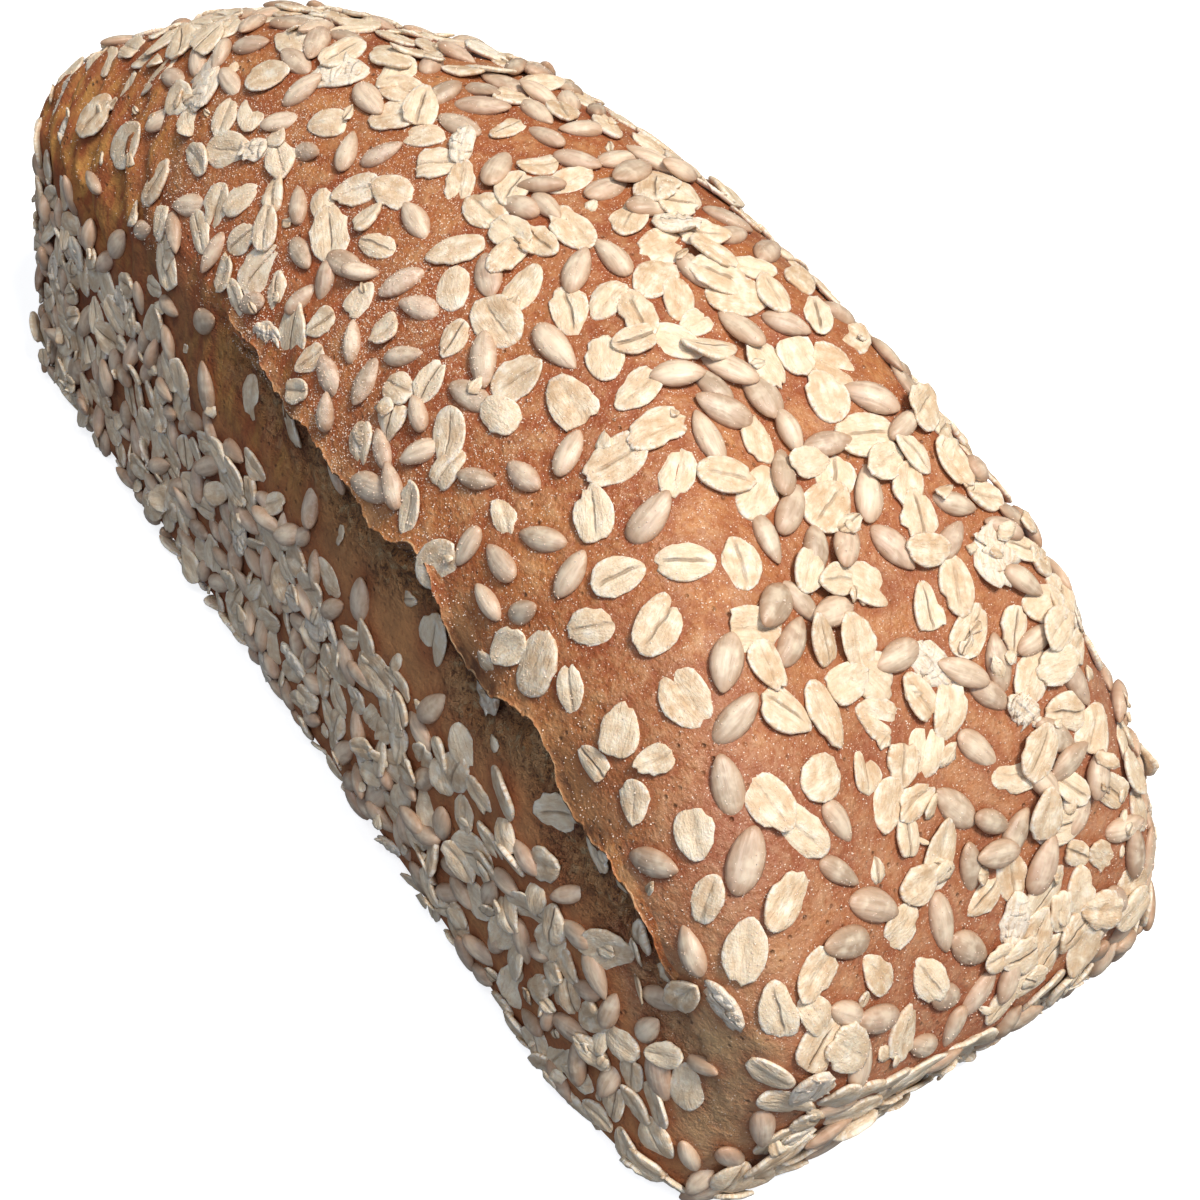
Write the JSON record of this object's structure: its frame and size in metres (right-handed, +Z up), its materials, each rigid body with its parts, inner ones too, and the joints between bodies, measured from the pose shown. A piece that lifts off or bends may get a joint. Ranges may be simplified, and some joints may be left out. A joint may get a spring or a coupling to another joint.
{
  "type": "protein bread",
  "caption": "Uncut seeded protein bread: a domed tin loaf crusted with rolled oat flakes and sunflower kernels, resting on its flat underside.",
  "frame": {"origin": "centre of the flat underside of the loaf, on the surface that it rests on", "axes": "+X along the length towards the lower, rounder end; +Y across, away from the high wall with the torn line; +Z up"},
  "size_m": [0.2618, 0.1176, 0.1041],
  "materials": {
    "crust": "baked orange-brown crust, dry and slightly floury, under cream oat flakes and grey-beige sunflower kernels; matt plastic stands in for food"
  },
  "bodies": {
    "root": {"loaf": "crust"}
  },
  "joints": []
}
